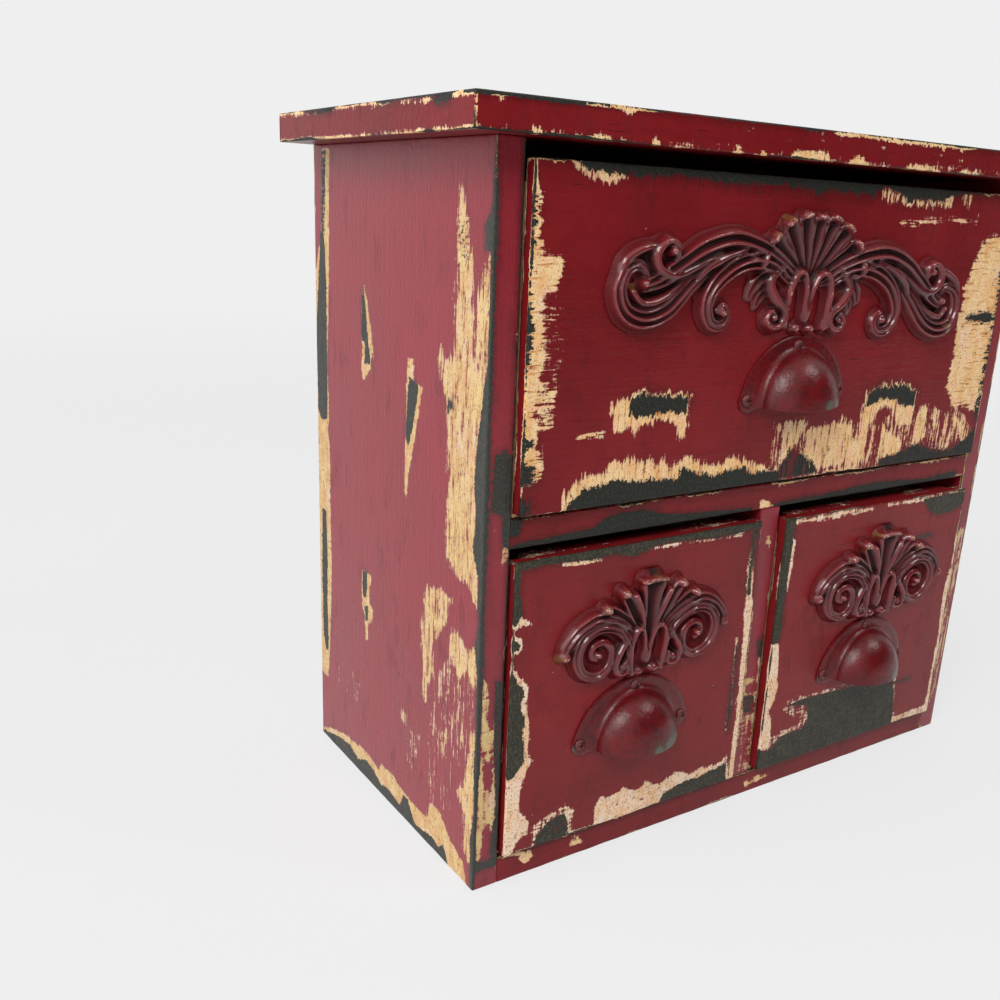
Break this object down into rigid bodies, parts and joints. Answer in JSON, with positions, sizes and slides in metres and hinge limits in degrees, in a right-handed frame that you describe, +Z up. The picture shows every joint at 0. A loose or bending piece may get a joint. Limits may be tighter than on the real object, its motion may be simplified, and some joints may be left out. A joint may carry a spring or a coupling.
{
  "type": "tabletop drawer chest",
  "caption": "Small tabletop chest with a wide drawer over two square drawers, cast scroll ornaments, cup pulls and distressed red paint.",
  "frame": {"origin": "centre of the case's footprint, on the surface it stands on", "axes": "+X to the viewer's right across the front, -Y out of the front, +Z up"},
  "size_m": [0.343, 0.1815, 0.312],
  "materials": {
    "painted_boards": "satin red paint over cream and black coats, worn through at edges",
    "drawer_wood": "bare sanded softwood",
    "plywood": "bare thin plywood",
    "ornament_casting": "cast composition, dark red paint with rubbed highlights",
    "pull_sheet": "stamped sheet steel under gloss red paint",
    "pull_screws": "steel round-head screws painted over",
    "brads": "plain steel wire brads"
  },
  "bodies": {
    "case": {"back_panel": "plywood", "back_panel_tacks": "brads", "bottom_board": "painted_boards", "centre_divider": "painted_boards", "divider_brads": "brads", "left_side_brads": "brads", "left_side_panel": "painted_boards", "right_side_brads": "brads", "right_side_panel": "painted_boards", "shelf_board": "painted_boards", "top_board": "painted_boards", "top_board_brads": "brads"},
    "top_drawer": {"top_drawer_back": "drawer_wood", "top_drawer_bottom": "plywood", "top_drawer_brads": "brads", "top_drawer_front": "painted_boards", "top_drawer_left_side": "drawer_wood", "top_drawer_ornament": "ornament_casting", "top_drawer_pull": "pull_sheet", "top_drawer_pull_screws": "pull_screws", "top_drawer_right_side": "drawer_wood"},
    "lower_left_drawer": {"lower_left_drawer_back": "drawer_wood", "lower_left_drawer_bottom": "plywood", "lower_left_drawer_brads": "brads", "lower_left_drawer_front": "painted_boards", "lower_left_drawer_left_side": "drawer_wood", "lower_left_drawer_ornament": "ornament_casting", "lower_left_drawer_pull": "pull_sheet", "lower_left_drawer_pull_screws": "pull_screws", "lower_left_drawer_right_side": "drawer_wood"},
    "lower_right_drawer": {"lower_right_drawer_back": "drawer_wood", "lower_right_drawer_bottom": "plywood", "lower_right_drawer_brads": "brads", "lower_right_drawer_front": "painted_boards", "lower_right_drawer_left_side": "drawer_wood", "lower_right_drawer_ornament": "ornament_casting", "lower_right_drawer_pull": "pull_sheet", "lower_right_drawer_pull_screws": "pull_screws", "lower_right_drawer_right_side": "drawer_wood"}
  },
  "joints": [
    {"name": "top_drawer_slide", "type": "slide", "parent": "case", "child": "top_drawer", "axis": [0, -1, 0], "range_m": [-0.001, 0.125]},
    {"name": "lower_left_drawer_slide", "type": "slide", "parent": "case", "child": "lower_left_drawer", "axis": [0, -1, 0], "range_m": [0, 0.125]},
    {"name": "lower_right_drawer_slide", "type": "slide", "parent": "case", "child": "lower_right_drawer", "axis": [0, -1, 0], "range_m": [-0.0015, 0.125]}
  ]
}
